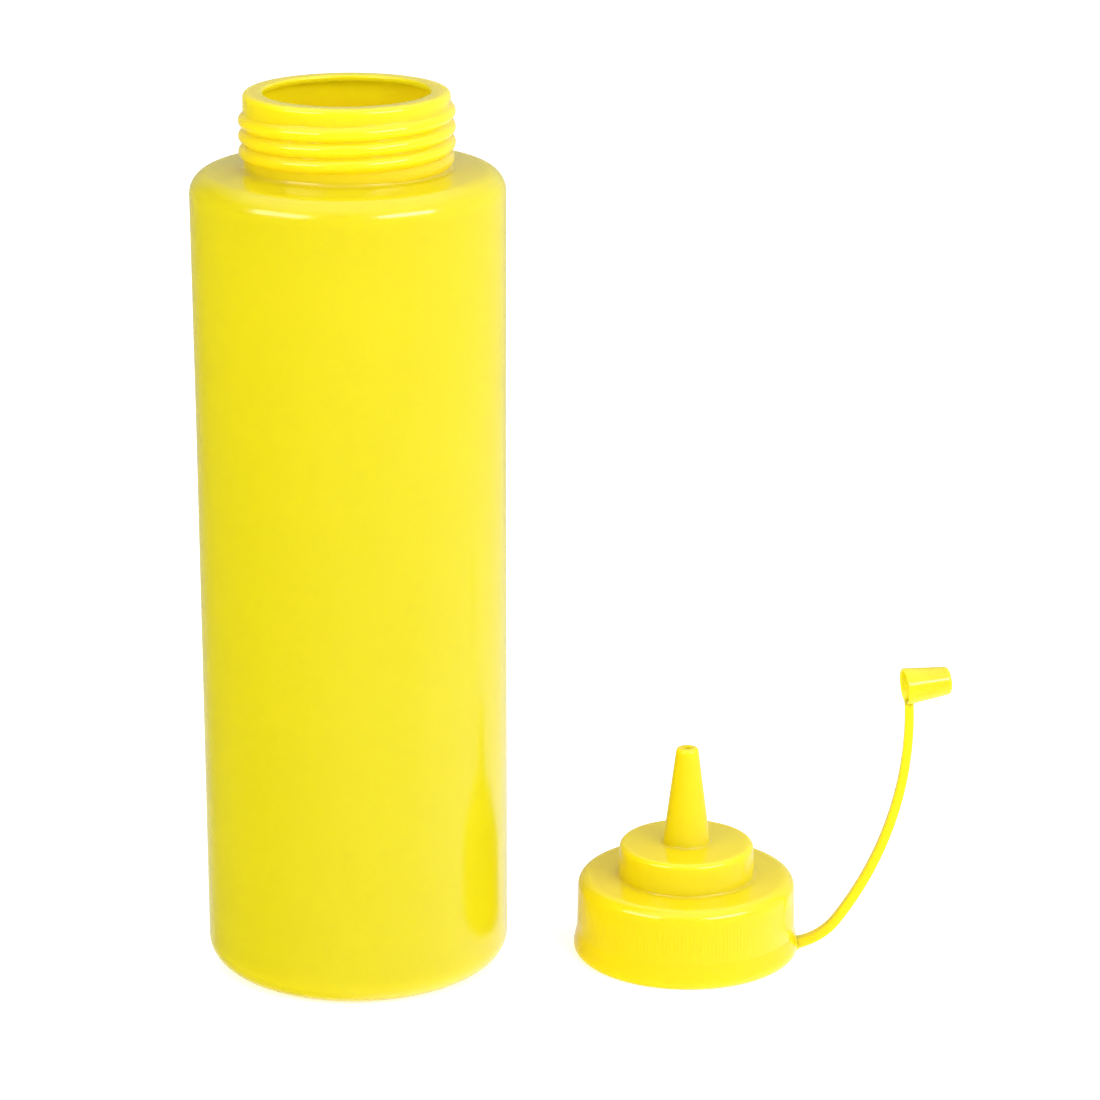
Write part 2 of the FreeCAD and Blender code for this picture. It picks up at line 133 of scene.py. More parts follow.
# How bright the studio is round the part, by the angle from straight behind it,
# in degrees, positive to the right: white paper behind and right, open room left.
SURROUNDINGS = [
    (-180, 0.4),
    (-140, 0.2),
    (-105, 0.08),
    (-50, 0.12),
    (-20, 0.5),
    (0, 0.6),
    (30, 0.9),
    (80, 1.0),
    (110, 0.9),
    (140, 0.6),
    (180, 0.4),
]
CEILING_STRENGTH = 1.8
# Between these shares of straight up, the walls go over into the ceiling.
CEILING_EDGE = (0.5, 0.9)
# How much brighter the paper just in front of the part is than the room, and the
# shares of straight up between which it starts.
PAPER_GLOW = 1.7
PAPER_EDGE = (-0.24, -0.38)
# Softboxes: azimuth to the right of the front and elevation in degrees, width and
# height in metres, radiance.
SOFTBOXES = {
    "key": (46.0, 26.0, 0.95, 0.27, 12.5),
    "fill": (-50.0, 26.0, 0.95, 0.38, 7.2),
}
SOFTBOX_DISTANCE = 1.3
SOFTBOX_TARGET = Vector((0.03, 0.0, 0.15))
SENSOR_WIDTH = 36.0
CLIP_START = 0.05
CLIP_END = 20.0


def millimetres(name, size, meaning):
    """A length that is given in millimetres and kept in metres."""
    return FloatProperty(
        name=name, description=meaning, default=size * MM, unit="LENGTH", precision=5
    )


def degrees(name, size, meaning):
    """An angle that is given in degrees and kept in radians."""
    return FloatProperty(
        name=name,
        description=meaning,
        default=math.radians(size),
        unit="ROTATION",
        subtype="ANGLE",
    )


def linear(code):
    """Linear red, green and blue of an sRGB colour such as #FFEE00."""
    shares = [int(code[place : place + 2], 16) / 255 for place in (1, 3, 5)]
    return tuple(
        share / 12.92 if share <= 0.04045 else ((share + 0.055) / 1.055) ** 2.4
        for share in shares
    )


def roughness_of(name, amount, meaning):
    """A roughness from 0, glossy, to 1, matt."""
    return FloatProperty(
        name=name,
        description=meaning,
        default=amount,
        min=0.0,
        max=1.0,
        subtype="FACTOR",
    )


def steps(name, count, meaning):
    """How many flat strips a turned surface has."""
    return IntProperty(name=name, description=meaning, default=count, min=32, max=512)


def colour(name, code, meaning):
    """A colour that is given as sRGB hex and kept linear."""
    return FloatVectorProperty(
        name=name,
        description=meaning,
        default=linear(code),
        size=3,
        min=0.0,
        max=1.0,
        subtype="COLOR",
    )


class BottleSizes(bpy.types.PropertyGroup):
    """Sizes of the blown bottle and of its neck thread."""

    height: FloatProperty(
        name="Height",
        description="Height of the bottle over its rim",
        default=BOTTLE_HEIGHT,
        unit="LENGTH",
    )
    radius: millimetres("Body radius", 39.5, "Outer radius under the shoulder")
    waist_inset: millimetres("Waist inset", 0.62, "How much narrower the waist is")
    waist_height: millimetres("Waist height", 76.0, "Height of the waist")
    waist_sweep: millimetres("Waist sweep", 70.0, "Reach of the waist's long curve")
    foot_inset: millimetres("Foot inset", 0.4, "How much narrower the foot is")
    foot_corner: millimetres("Foot corner", 7.0, "Outer rounding of the foot")
    shoulder_rise: millimetres("Shoulder rise", 1.0, "Rise of the shoulder")
    shoulder_corner: millimetres("Shoulder corner", 5.6, "Rounding of the shoulder")
    wall: millimetres("Wall", 1.3, "Wall of the body")
    standing_ring: millimetres("Standing ring", 2.6, "Flat ring it stands on")
    push_up: millimetres("Push-up", 3.2, "Height of the base panel")
    push_up_slope: millimetres("Push-up slope", 6.0, "Width of the base's slope")
    base_blend: millimetres("Base blend", 2.0, "Roundings of the base panel")
    neck_height: millimetres("Neck height", 19.1, "Height of the neck")
    neck_radius: millimetres("Neck radius", 25.8, "Neck radius under the thread")
    neck_wall: millimetres("Neck wall", 1.9, "Wall of the neck")
    neck_root: millimetres("Neck root", 1.3, "Rounding at the neck's foot")
    lip_width: millimetres("Lip width", 4.9, "Width of the rim with its lip")
    lip_thickness: millimetres("Lip thickness", 1.8, "Thickness of the lip")
    rim_edge: millimetres("Rim edge", 1.3, "Rounding of the rim's outer edge")
    lip_edge: millimetres("Lip edge", 0.6, "Rounding of the lip's inner edge")
    thread_height: millimetres("Thread height", 1.2, "How far the thread stands out")
    thread_pitch: millimetres("Thread pitch", 3.9, "Rise of one turn")
    thread_width: millimetres("Thread width", 3.75, "Width of a ridge at its foot")
    thread_top: millimetres("Thread top", 223.2, "Upper turn's height at the front")
    around: steps("Steps around", 256, "Steps of the bottle's turned surfaces")


class CapSizes(bpy.types.PropertyGroup):
    """Sizes of the cap moulding, measured from its own axis and foot."""

    flange_radius: FloatProperty(
        name="Flange radius",
        description="Radius of the flange at the cap's foot",
        default=(CAP_HIGH.y - CAP_LOW.y) / 2,
        unit="LENGTH",
    )
    bore: millimetres("Bore", 27.15, "Inner radius of the skirt")
    flange_height: millimetres("Flange height", 2.6, "Height of the flange's side")
    flare_height: millimetres("Flare height", 4.0, "Height of the hollow flare")
    flange_edge: millimetres("Flange edge", 2.0, "Rounding under the flange")
    skirt_radius: millimetres("Skirt radius", 28.6, "Radius above the flare")
    skirt_draft: millimetres("Skirt draft", 0.32, "How much narrower its top is")
    step_draft: millimetres("Step draft", 0.4, "How much narrower the step's top is")
    shelf_underside: millimetres("Shelf underside", 19.75, "Height of its underside")
    shelf_wall: millimetres("Shelf wall", 1.5, "Thickness of the shelf")
    shelf_edge: millimetres("Shelf edge", 3.2, "Rounding of the shelf's outer edge")
    shelf_inside: millimetres("Shelf inside", 1.2, "Rounding under the shelf")
    step_radius: millimetres("Step radius", 17.85, "Radius of the raised step")
    step_rise: millimetres("Step rise", 8.85, "Height of the step over the shelf")
    step_edge: millimetres("Step edge", 1.5, "Rounding of the step's upper edge")
    step_wall: millimetres("Step wall", 1.4, "Wall of the step")
    step_root: millimetres("Step root", 0.8, "Roundings at the step's foot")
    seal_foot: millimetres("Seal foot", 18.5, "Height of the seal ring's foot")
    seal_inside: millimetres("Seal inside", 22.1, "Inner radius of the seal ring")
    seal_outside: millimetres("Seal outside", 23.9, "Outer radius of that ring")
    nozzle_radius: millimetres("Nozzle radius", 6.2, "Radius of the nozzle's base")
    tip_radius: millimetres("Tip radius", 2.85, "Radius of the nozzle's tip")
    nozzle_length: millimetres("Nozzle length", 26.1, "Height over the step")
    tip_edge: millimetres("Tip edge", 0.9, "Rounding of the nozzle's tip")
    spout_radius: millimetres("Spout radius", 1.0, "Radius of the hole in the tip")
    spout_land: millimetres("Spout land", 2.5, "Length of that hole")
    thread_depth: millimetres("Thread depth", 1.1, "How far the thread stands in")
    strap_root_height: millimetres("Strap root", 1.6, "Height of the strap's root")
    strap_rise: degrees("Strap rise", 7.5, "Slope of the strap at its root")
    curl_radius: millimetres("Curl radius", 16.6, "Radius of the tight bend")
    curl_turn: degrees("Curl turn", 46.5, "Turn of the tight bend")
    arch_radius: millimetres("Arch radius", 93.6, "Radius of the long bend")
    arch_turn: degrees("Arch turn", 39.2, "Turn of the long bend")
    strap_width: millimetres("Strap width", 3.4, "Width of the strap")
    strap_edge: millimetres("Strap edge", 0.7, "Rounding of its long edges")
    strap_blend: millimetres("Strap blend", 0.35, "Rounding at the strap's root")
    root_thickness: millimetres("Root thickness", 2.5, "Thickness at the flange")
    curl_thickness: millimetres("Curl thickness", 1.9, "After the tight bend")
    end_thickness: millimetres("End thickness", 1.75, "Thickness at the tip cap")
    tip_cap_wall: millimetres("Tip cap wall", 0.7, "Wall of the tip cap")
    tip_mouth: millimetres("Tip cap mouth", 4.832, "Outer radius of its mouth")
    tip_end: millimetres("Tip cap end", 3.6, "Outer radius of its closed end")
    tip_length: millimetres("Tip cap length", 12.0, "Length of the tip cap")
    tip_cap_edge: millimetres("Tip cap edge", 1.0, "Rounding of its closed end")
    tip_cap_rise: degrees("Tip cap rise", 4.8, "Slope of the tip cap")
    tip_cap_turn: degrees("Tip cap turn", 11.0, "Its turn out of the strap's plane")
    around: steps("Steps around", 224, "Steps of the cap's turned surfaces")


class PlasticLook(bpy.types.PropertyGroup):
    """Colours and finish of the two plastics."""

    bottle_yellow: colour("Bottle yellow", "#EBCF14", "Pigment of the blown bottle")
    cap_yellow: colour("Cap yellow", "#DCC914", "Pigment of the moulded cap")
    bottle_roughness: roughness_of("Bottle roughness", 0.18, "Roughness of its skin")
    cap_roughness: roughness_of("Cap roughness", 0.16, "Roughness of the moulding")


class StageSettings(bpy.types.PropertyGroup):
    """Camera, lights and floor."""

    camera_distance: FloatProperty(
        name="Camera distance",
        description="From the lens to the point it is aimed at",
        default=1.05,
        unit="LENGTH",
    )
    camera_drop: degrees("Camera drop", 17.01, "How far it looks down")
    aim_across: millimetres("Aim across", 50.32, "The aimed point's place along X")
    aim_height: millimetres("Aim height", 110.47, "The aimed point's height")
    lens: FloatProperty(
        name="Lens",
        description="Focal length on a sensor 36 mm wide",
        default=134.38,
        unit="CAMERA",
    )


def deselect_all():
    """Leaves edit mode and deselects every object."""
    if bpy.context.mode != "OBJECT":
        bpy.ops.object.mode_set(mode="OBJECT")
    bpy.ops.object.select_all(action="DESELECT")


def pick(piece):
    """Selects that piece alone and makes it active."""
    deselect_all()
    piece.select_set(True)
    bpy.context.view_layer.objects.active = piece


def select_vertices(wanted):
    """In edit mode, selects the vertices whose place passes, and says how many."""
    bpy.ops.mesh.select_mode(type="VERT")
    bpy.ops.mesh.select_all(action="DESELECT")
    mesh = bmesh.from_edit_mesh(bpy.context.edit_object.data)
    count = 0
    for vertex in mesh.verts:
        if wanted(vertex.co):
            vertex.select_set(True)
            count += 1
    mesh.select_flush(True)
    bmesh.update_edit_mesh(bpy.context.edit_object.data)
    return count


def draw_chain(name, corners):
    """A new object in edit mode: a chain of edges through (radius, height) corners."""
    deselect_all()
    (radius, height), *others = corners
    bpy.ops.mesh.primitive_plane_add(size=MM, location=(radius, 0, height))
    piece = bpy.context.active_object
    piece.name = piece.data.name = name
    bpy.ops.object.transform_apply(location=True, rotation=True, scale=True)
    bpy.ops.object.mode_set(mode="EDIT")
    bpy.ops.mesh.select_all(action="SELECT")
    bpy.ops.mesh.merge(type="CENTER")
    for next_radius, next_height in others:
        step = (next_radius - radius, 0, next_height - height)
        bpy.ops.mesh.extrude_vertices_move(TRANSFORM_OT_translate={"value": step})
        radius, height = next_radius, next_height
    return piece


def round_corner(corner, radius, segments):
    """Bevels one corner of the chain to an arc of that radius."""
    place = Vector((corner[0], 0, corner[1]))
    if select_vertices(lambda co: (co - place).length < SAME) != 1:
        raise RuntimeError(f"no single corner at {tuple(place)}")
    mesh = bmesh.from_edit_mesh(bpy.context.edit_object.data)
    vertex = next(v for v in mesh.verts if v.select)
    arms = [edge.other_vert(vertex).co - vertex.co for edge in vertex.link_edges]
    offset = radius / math.tan(arms[0].angle(arms[1]) / 2)
    bpy.ops.mesh.bevel(
        offset_type="OFFSET",
        offset=offset,
        segments=segments,
        profile=0.5,
        affect="VERTICES",
        clamp_overlap=False,
    )


def draw_section(name, section):
    """Draws a wall's section in edit mode: radius, height, rounding and its steps."""
    piece = draw_chain(name, [corner[:2] for corner in section])
    for radius, height, rounding, segments in section:
        if rounding:
            round_corner((radius, height), rounding, segments)
    return piece


def divide_upright(radius, low, high, cuts):
    """Divides the chain's upright edge at that radius between two heights."""
    found = select_vertices(
        lambda co: abs(co.x - radius) < SAME and low - SAME < co.z < high + SAME
    )
    if found != 2:
        raise RuntimeError(f"{found} ends for the upright edge at radius {radius}")
    bpy.ops.mesh.subdivide(number_cuts=cuts)


def turn_chain(strips):
    """Spins the chain right round +Z and closes the seam and the poles."""
    bpy.ops.mesh.select_all(action="SELECT")
    bpy.ops.mesh.spin(
        steps=strips, angle=2 * math.pi, center=(0, 0, 0), axis=(0, 0, 1)
    )
    bpy.ops.mesh.select_all(action="SELECT")
    bpy.ops.mesh.remove_doubles(threshold=SAME)
    bpy.ops.mesh.normals_make_consistent(inside=False)
    bpy.ops.object.mode_set(mode="OBJECT")


def smooth(piece):
    """Shades the piece smooth, apart from its crisp edges."""
    pick(piece)
    bpy.ops.object.shade_smooth_by_angle(angle=math.radians(CRISP_EDGE))


def raise_by_weight(piece, group, height):
    """Pushes the weighted vertices out along their normals, for good."""
    pick(piece)
    lift = piece.modifiers.new(group, "DISPLACE")
    lift.direction = "NORMAL"
    lift.mid_level = 0.0
    lift.strength = height
    lift.vertex_group = group
    bpy.ops.object.modifier_apply(modifier=lift.name)
    piece.vertex_groups.remove(piece.vertex_groups[group])


def ease(share):
    """0 to 1 with a soft start and end."""
    share = min(1.0, max(0.0, share))
    return share * share * (3 - 2 * share)


def weigh_helix(piece, group, inside, helix):
    """Weights vertices near a helical ridge: 1 on its crest, 0 off it."""
    weights = piece.vertex_groups.new(name=group)
    low_turn = helix["first"] - helix["fade"]
    high_turn = helix["last"] + helix["end_fade"]
    for vertex in piece.data.vertices:
        if not inside(vertex.co):
            continue
        angle = math.degrees(math.atan2(vertex.co.y, vertex.co.x)) % 360
        best = 0.0
        for whole in WHOLE_TURNS:
            turn = angle + 360 * whole
            if not low_turn < turn < high_turn:
                continue
            crest = helix["top"] + helix["pitch"] * (turn - FRONT_TURN) / 360
            reach = abs(vertex.co.z - crest) / (helix["width"] / 2)
            if reach >= 1:
                continue
            swell = (1 - reach**CREST_POWER) ** FLANK_POWER
            start = ease((turn - low_turn) / helix["fade"])
            end = ease((high_turn - turn) / helix["end_fade"])
            best = max(best, swell * (start * end))
        if best > 0:
            weights.add([vertex.index], best, "REPLACE")


def add_node(tree, kind, settings=None, **sockets):
    """Adds a node, sets its properties, and sets or links its inputs.

    An input goes by its name, with _ for a space, or by i and its number.
    """
    node = tree.nodes.new(kind)
    for name, value in (settings or {}).items():
        setattr(node, name, value)
    for name, value in sockets.items():
        numbered = name[0] == "i" and name[1:].isdigit()
        socket = node.inputs[int(name[1:]) if numbered else name.replace("_", " ")]
        if isinstance(value, bpy.types.NodeSocket):
            tree.links.new(value, socket)
        else:
            socket.default_value = value
    return node


def make_plastic(name, pigment, roughness, scatter, ribs=None):
    """A glossy plastic that light soaks a few millimetres into.

    That softens its shading and lights its thin edges, and leaves the gloss crisp.
    """
    material = bpy.data.materials.new(name)
    material.use_nodes = True
    tree = material.node_tree
    tree.nodes.clear()
    place = add_node(tree, "ShaderNodeTexCoord").outputs["Object"]
    # Slow waves in the skin of the plastic bend the edges of its highlights.
    waves = add_node(
        tree, "ShaderNodeTexNoise", Vector=place, Scale=1 / WAVE_SPACING, Detail=1.0
    ).outputs["Fac"]
    # The pigment is stirred in unevenly, so the yellow drifts a little.
    clouds = add_node(
        tree, "ShaderNodeTexNoise", Vector=place, Scale=1 / CLOUD_SPACING, Detail=2.0
    ).outputs["Fac"]
    deeper = [share * DEEPER_PIGMENT for share in pigment]
    stirred = add_node(
        tree,
        "ShaderNodeMix",
        {"data_type": "RGBA"},
        i0=clouds,
        i6=(*pigment, 1.0),
        i7=(*deeper, 1.0),
    )
    # Handling dulls the gloss a little in patches.
    rubbed = add_node(
        tree,
        "ShaderNodeMapRange",
        Value=clouds,
        From_Min=CLOUD_SPREAD[0],
        From_Max=CLOUD_SPREAD[1],
        To_Min=roughness + RUBBED_ROUGHNESS[0],
        To_Max=roughness + RUBBED_ROUGHNESS[1],
    )
    bump = add_node(
        tree,
        "ShaderNodeBump",
        Strength=WAVE_STRENGTH,
        Distance=WAVE_DEPTH,
        Height=waves,
    ).outputs["Normal"]
    if ribs:
        bump = add_node(
            tree,
            "ShaderNodeBump",
            Strength=1.0,
            Distance=ribs["height"],
            Height=rib_height(tree, place, ribs),
            Normal=bump,
        ).outputs["Normal"]
    shader = add_node(
        tree,
        "ShaderNodeBsdfPrincipled",
        {"subsurface_method": "RANDOM_WALK"},
        Base_Color=stirred.outputs[2],
        Roughness=rubbed.outputs["Result"],
        IOR=PLASTIC_IOR,
        Subsurface_Weight=1.0,
        Subsurface_Radius=SCATTER_BY_COLOUR,
        Subsurface_Scale=scatter,
        Normal=bump,
    )
    output = add_node(tree, "ShaderNodeOutputMaterial")
    tree.links.new(shader.outputs["BSDF"], output.inputs["Surface"])
    return material


def rib_height(tree, place, ribs):
    """Upright ribs round an axis, 0 to 1, fading out over and under their band."""
    centred = add_node(
        tree, "ShaderNodeMapping", Vector=place, Location=-ribs["axis"]
    ).outputs["Vector"]
    around = add_node(
        tree, "ShaderNodeTexGradient", {"gradient_type": "RADIAL"}, Vector=centred
    ).outputs["Fac"]
    angle = add_node(
        tree,
        "ShaderNodeMath",
        {"operation": "MULTIPLY"},
        i0=around,
        i1=ribs["count"] * math.tau,
    ).outputs["Value"]
    wave = add_node(
        tree, "ShaderNodeMath", {"operation": "SINE"}, i0=angle
    ).outputs["Value"]
    height = add_node(tree, "ShaderNodeSeparateXYZ", Vector=place).outputs["Z"]
    low, high, fade = ribs["low"], ribs["high"], ribs["fade"]
    rise = add_node(
        tree, "ShaderNodeMapRange", Value=height, From_Min=low, From_Max=low + fade
    ).outputs["Result"]
    fall = add_node(
        tree, "ShaderNodeMapRange", Value=height, From_Min=high, From_Max=high - fade
    ).outputs["Result"]
    band = add_node(
        tree, "ShaderNodeMath", {"operation": "MULTIPLY"}, i0=rise, i1=fall
    ).outputs["Value"]
    return add_node(
        tree, "ShaderNodeMath", {"operation": "MULTIPLY"}, i0=wave, i1=band
    ).outputs["Value"]


def cap_plastic(look, name, ribs=None):
    """The cap's moulded plastic under that name, made when it is first asked for."""
    return bpy.data.materials.get(name) or make_plastic(
        name, look.cap_yellow, look.cap_roughness, CAP_SCATTER, ribs
    )


def plain_plastic(look):
    """The cap's plastic for the strap and the tip cap, which have no ribs."""
    # The same moulding in the same deeper yellow, smooth and glossy all over.
    return cap_plastic(look, "moulded polypropylene, plain")


def finish_piece(piece, material, node):
    """Gives the piece its plastic, and has it stand for its node."""
    piece.data.materials.clear()
    piece.data.materials.append(material)
    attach(piece, "root")
    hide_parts(node)


class SQUEEZE_OT_bottle(bpy.types.Operator):
    """Models the blown bottle with its neck thread"""

    bl_idname = "squeeze.bottle"
    bl_label = "Bottle"

    def execute(self, context):
        size = context.scene.squeeze_bottle
        look = context.scene.squeeze_look
        top = size.height
        neck_foot = top - size.neck_height
        shoulder = neck_foot - size.shoulder_rise
        foot = size.radius - size.foot_inset
        waist = size.radius - size.waist_inset
        ring = foot - size.foot_corner - size.standing_ring
        panel = ring - size.push_up_slope
        mouth = size.neck_radius - size.lip_width
        bore = size.neck_radius - size.neck_wall
        under_lip = top - size.lip_thickness
        wall = size.wall
        # Each corner of the wall's section: radius, height, rounding and its steps.
        section = [
            (0, size.push_up, 0, 0),
            (panel, size.push_up, size.base_blend, 5),
            (ring, 0, size.base_blend, 5),
            (foot, 0, size.foot_corner, 14),
            (waist, size.waist_height, 0, 0),
            (size.radius, shoulder, size.shoulder_corner, 14),
            (size.neck_radius, neck_foot, size.neck_root, 6),
            (size.neck_radius, top, size.rim_edge, 8),
            (mouth, top, size.lip_edge, 5),
            (mouth, under_lip, size.lip_edge, 5),
            (bore, under_lip, 0, 0),
            (bore, neck_foot - wall, 0, 0),
            (size.radius - wall, shoulder - wall, size.shoulder_corner - wall, 8),
            (waist - wall, size.waist_height, 0, 0),
            (foot - wall, wall, size.foot_corner - wall, 8),
            (ring, wall, size.base_blend, 5),
            (panel, size.push_up + wall, size.base_blend, 5),
            (0, size.push_up + wall, 0, 0),
        ]
        piece = draw_section("bottle_wall", section)
        for radius in (waist, waist - wall):
            corner = Vector((radius, 0, size.waist_height))
            select_vertices(lambda co: (co - corner).length < SAME)
            bpy.ops.mesh.bevel(
                offset_type="OFFSET",
                offset=size.waist_sweep,
                segments=WAIST_STEPS,
                affect="VERTICES",
                clamp_overlap=False,
            )
        divide_upright(size.neck_radius, neck_foot, top, THREAD_CUTS)
        turn_chain(size.around)
        helix = {
            "top": size.thread_top,
            "pitch": size.thread_pitch,
            "width": size.thread_width,
            **NECK_THREAD,
        }
        weigh_helix(
            piece,
            "thread",
            lambda co: co.z > neck_foot + size.neck_root / 2
            and math.hypot(co.x, co.y) > size.neck_radius - ON_WALL
            and co.z < top - size.rim_edge,
            helix,
        )
        raise_by_weight(piece, "thread", size.thread_height)
        smooth(piece)
        # A blown squeeze wall: waxy and even, lit from inside, with broad soft gloss.
        plastic = make_plastic(
            "blown low-density polyethylene",
            look.bottle_yellow,
            look.bottle_roughness,
            BOTTLE_SCATTER,
        )
        finish_piece(piece, plastic, "bottle")
        return {"FINISHED"}


class SQUEEZE_OT_cap(bpy.types.Operator):
    """Models the cap's flange, skirt, shelf, step and nozzle"""

    bl_idname = "squeeze.cap"
    bl_label = "Cap"

    def execute(self, context):
        size = context.scene.squeeze_cap
        look = context.scene.squeeze_look
        under = size.shelf_underside
        shelf = under + size.shelf_wall
        step = shelf + size.step_rise
        under_step = step - size.shelf_wall
        tip = step + size.nozzle_length
        skirt_foot = size.flange_height + size.flare_height
        step_top = size.step_radius - size.step_draft
        section = [
            (size.spout_radius, tip, 0, 0),
            (size.tip_radius, tip, size.tip_edge, 6),
            (size.nozzle_radius, step, size.step_root, 6),
            (step_top, step, size.step_edge, 8),
            (size.step_radius, shelf, size.step_root, 6),
            (size.skirt_radius - size.skirt_draft, shelf, size.shelf_edge, 12),
            (size.skirt_radius, skirt_foot, size.flare_height, 10),
            (size.flange_radius, size.flange_height, 0, 0),
            (size.flange_radius, 0, size.flange_edge, 8),
            (size.bore, 0, 0, 0),
            (size.bore, under, size.shelf_inside, 5),
            (size.seal_outside, under, 0, 0),
            (size.seal_outside, size.seal_foot, 0, 0),
            (size.seal_inside, size.seal_foot, 0, 0),
            (size.seal_inside, under, 0, 0),
            (size.step_radius - size.step_wall, under, 0, 0),
            (step_top - size.step_wall, under_step, 0, 0),
            (size.nozzle_radius - size.step_wall, under_step, 0, 0),
            (size.spout_radius, tip - size.spout_land, 0, 0),
            (size.spout_radius, tip, 0, 0),
        ]
        piece = draw_section("cap_shell", section)
        divide_upright(size.bore, 0, under, THREAD_CUTS)
        turn_chain(size.around)
        helix = {
            "top": CAP_THREAD_TOP,
            "pitch": context.scene.squeeze_bottle.thread_pitch,
            "width": CAP_THREAD_WIDTH,
            **CAP_THREAD,
        }
        weigh_helix(
            piece,
            "thread",
            lambda co: CAP_THREAD_LEAD_IN < co.z < under - size.shelf_inside
            and abs(math.hypot(co.x, co.y) - size.bore) < ON_WALL,
            helix,
        )
        raise_by_weight(piece, "thread", size.thread_depth)
        place_on_cap(piece)
        smooth(piece)
        ribs = {
            "axis": cap_axis(),
            "count": RIB_COUNT,
            "height": RIB_HEIGHT,
            "low": skirt_foot,
            "high": shelf - size.shelf_edge,
            "fade": RIB_FADE,
        }
        # Stiffer and denser than the bottle: a deeper yellow, crisper gloss, fine ribs.
        plastic = cap_plastic(look, "moulded polypropylene", ribs)
        finish_piece(piece, plastic, "cap")
        return {"FINISHED"}


def cap_axis():
    """Where the cap's axis meets the floor: one flange radius in from its box."""
    radius = (CAP_HIGH.y - CAP_LOW.y) / 2
    return Vector((CAP_LOW.x + radius, (CAP_LOW.y + CAP_HIGH.y) / 2, 0))


def place_on_cap(piece):
    """Moves a piece that was modelled at the origin onto the cap's axis."""
    pick(piece)
    bpy.ops.transform.translate(value=cap_axis())
    bpy.ops.object.transform_apply(location=True, rotation=True, scale=True)


def centre_over(point, slope, radius):
    """The centre of the bend that passes the point at that slope, in the XZ plane."""
    return point + radius * Vector((-math.sin(slope), 0, math.cos(slope)))


def point_on(centre, slope, radius):
    """Where the bend round that centre has that slope."""
    return centre + radius * Vector((math.sin(slope), 0, -math.cos(slope)))


class SQUEEZE_OT_strap(bpy.types.Operator):
    """Models the strap from the flange up to the tip cap"""

    bl_idname = "squeeze.strap"
    bl_label = "Strap"

    def execute(self, context):
        size = context.scene.squeeze_cap
        root = Vector(((size.bore + size.flange_radius) / 2, 0, size.strap_root_height))
        # The slopes at the root and at the ends of the tight and of the long bend.
        rise = size.strap_rise
        curl = size.strap_rise + size.curl_turn
        arch = size.strap_rise + size.curl_turn + size.arch_turn
        curl_centre = centre_over(root, rise, size.curl_radius)
        curl_end = point_on(curl_centre, curl, size.curl_radius)
        arch_centre = centre_over(curl_end, curl, size.arch_radius)
        # The slope at which the strap's middle leaves the flange.
        leave = math.asin(
            math.sin(rise) + (size.flange_radius - root.x) / size.curl_radius
        )
        # Each section along the strap: its slope, and how far it flares at the root.
        stations = [(leave - STRAP_SINK, size.strap_blend)]
        blend_turn = size.strap_blend / size.curl_radius
        for count in range(ROOT_STEPS + 1):
            share = count / ROOT_STEPS
            flare = size.strap_blend * (1 - math.sqrt(1 - (1 - share) ** 2))
            stations.append((leave + blend_turn * share, flare))
        stations += [
            (leave + blend_turn + (curl - leave - blend_turn) * n / CURL_STEPS, 0)
            for n in range(1, CURL_STEPS + 1)
        ]
        stations += [
            (curl + (arch - curl) * n / ARCH_STEPS, 0) for n in range(1, ARCH_STEPS + 1)
        ]

        def thickness(slope):
            if slope <= curl:
                share = (slope - rise) / (curl - rise)
                return size.root_thickness + share * (
                    size.curl_thickness - size.root_thickness
                )
            share = (slope - curl) / (arch - curl)
            return size.curl_thickness + share * (
                size.end_thickness - size.curl_thickness
            )

        deselect_all()
        slope, flare = stations[0]
        thick, wide = thickness(slope) + 2 * flare, size.strap_width + 2 * flare
        bpy.ops.mesh.primitive_plane_add(
            size=1,
            location=point_on(curl_centre, slope, size.curl_radius),
            rotation=(0, math.pi / 2 - slope, 0),
        )
        piece = context.active_object
        piece.name = piece.data.name = "strap"
        piece.scale = (thick, wide, 1)
        bpy.ops.object.transform_apply(location=True, rotation=True, scale=True)
        bpy.ops.object.mode_set(mode="EDIT")
        bpy.ops.mesh.select_all(action="SELECT")
        bpy.ops.mesh.bevel(
            offset_type="OFFSET",
            offset=size.strap_edge,
            segments=STRAP_EDGE_STEPS,
            affect="VERTICES",
        )
        for next_slope, next_flare in stations[1:]:
            in_curl = next_slope <= curl + SAME
            centre = curl_centre if in_curl else arch_centre
            radius = size.curl_radius if in_curl else size.arch_radius
            bpy.ops.mesh.extrude_region_move(
                TRANSFORM_OT_translate={"value": (0, 0, 0)}
            )
            bpy.ops.transform.rotate(
                value=next_slope - slope,
                orient_axis="Y",
                center_override=centre,
            )
            next_thick = thickness(next_slope) + 2 * next_flare
            next_wide = size.strap_width + 2 * next_flare
            across = Matrix.Rotation(math.pi / 2 - next_slope, 3, "Y")
            bpy.ops.transform.resize(
                value=(next_thick / thick, next_wide / wide, 1),
                orient_type="LOCAL",
                orient_matrix=across.transposed(),
                orient_matrix_type="LOCAL",
                center_override=point_on(centre, next_slope, radius),
            )
            slope, thick, wide = next_slope, next_thick, next_wide
        bpy.ops.mesh.select_all(action="SELECT")
        bpy.ops.mesh.normals_make_consistent(inside=False)
        bpy.ops.object.mode_set(mode="OBJECT")
        place_on_cap(piece)
        smooth(piece)
        finish_piece(piece, plain_plastic(context.scene.squeeze_look), "cap")
        return {"FINISHED"}


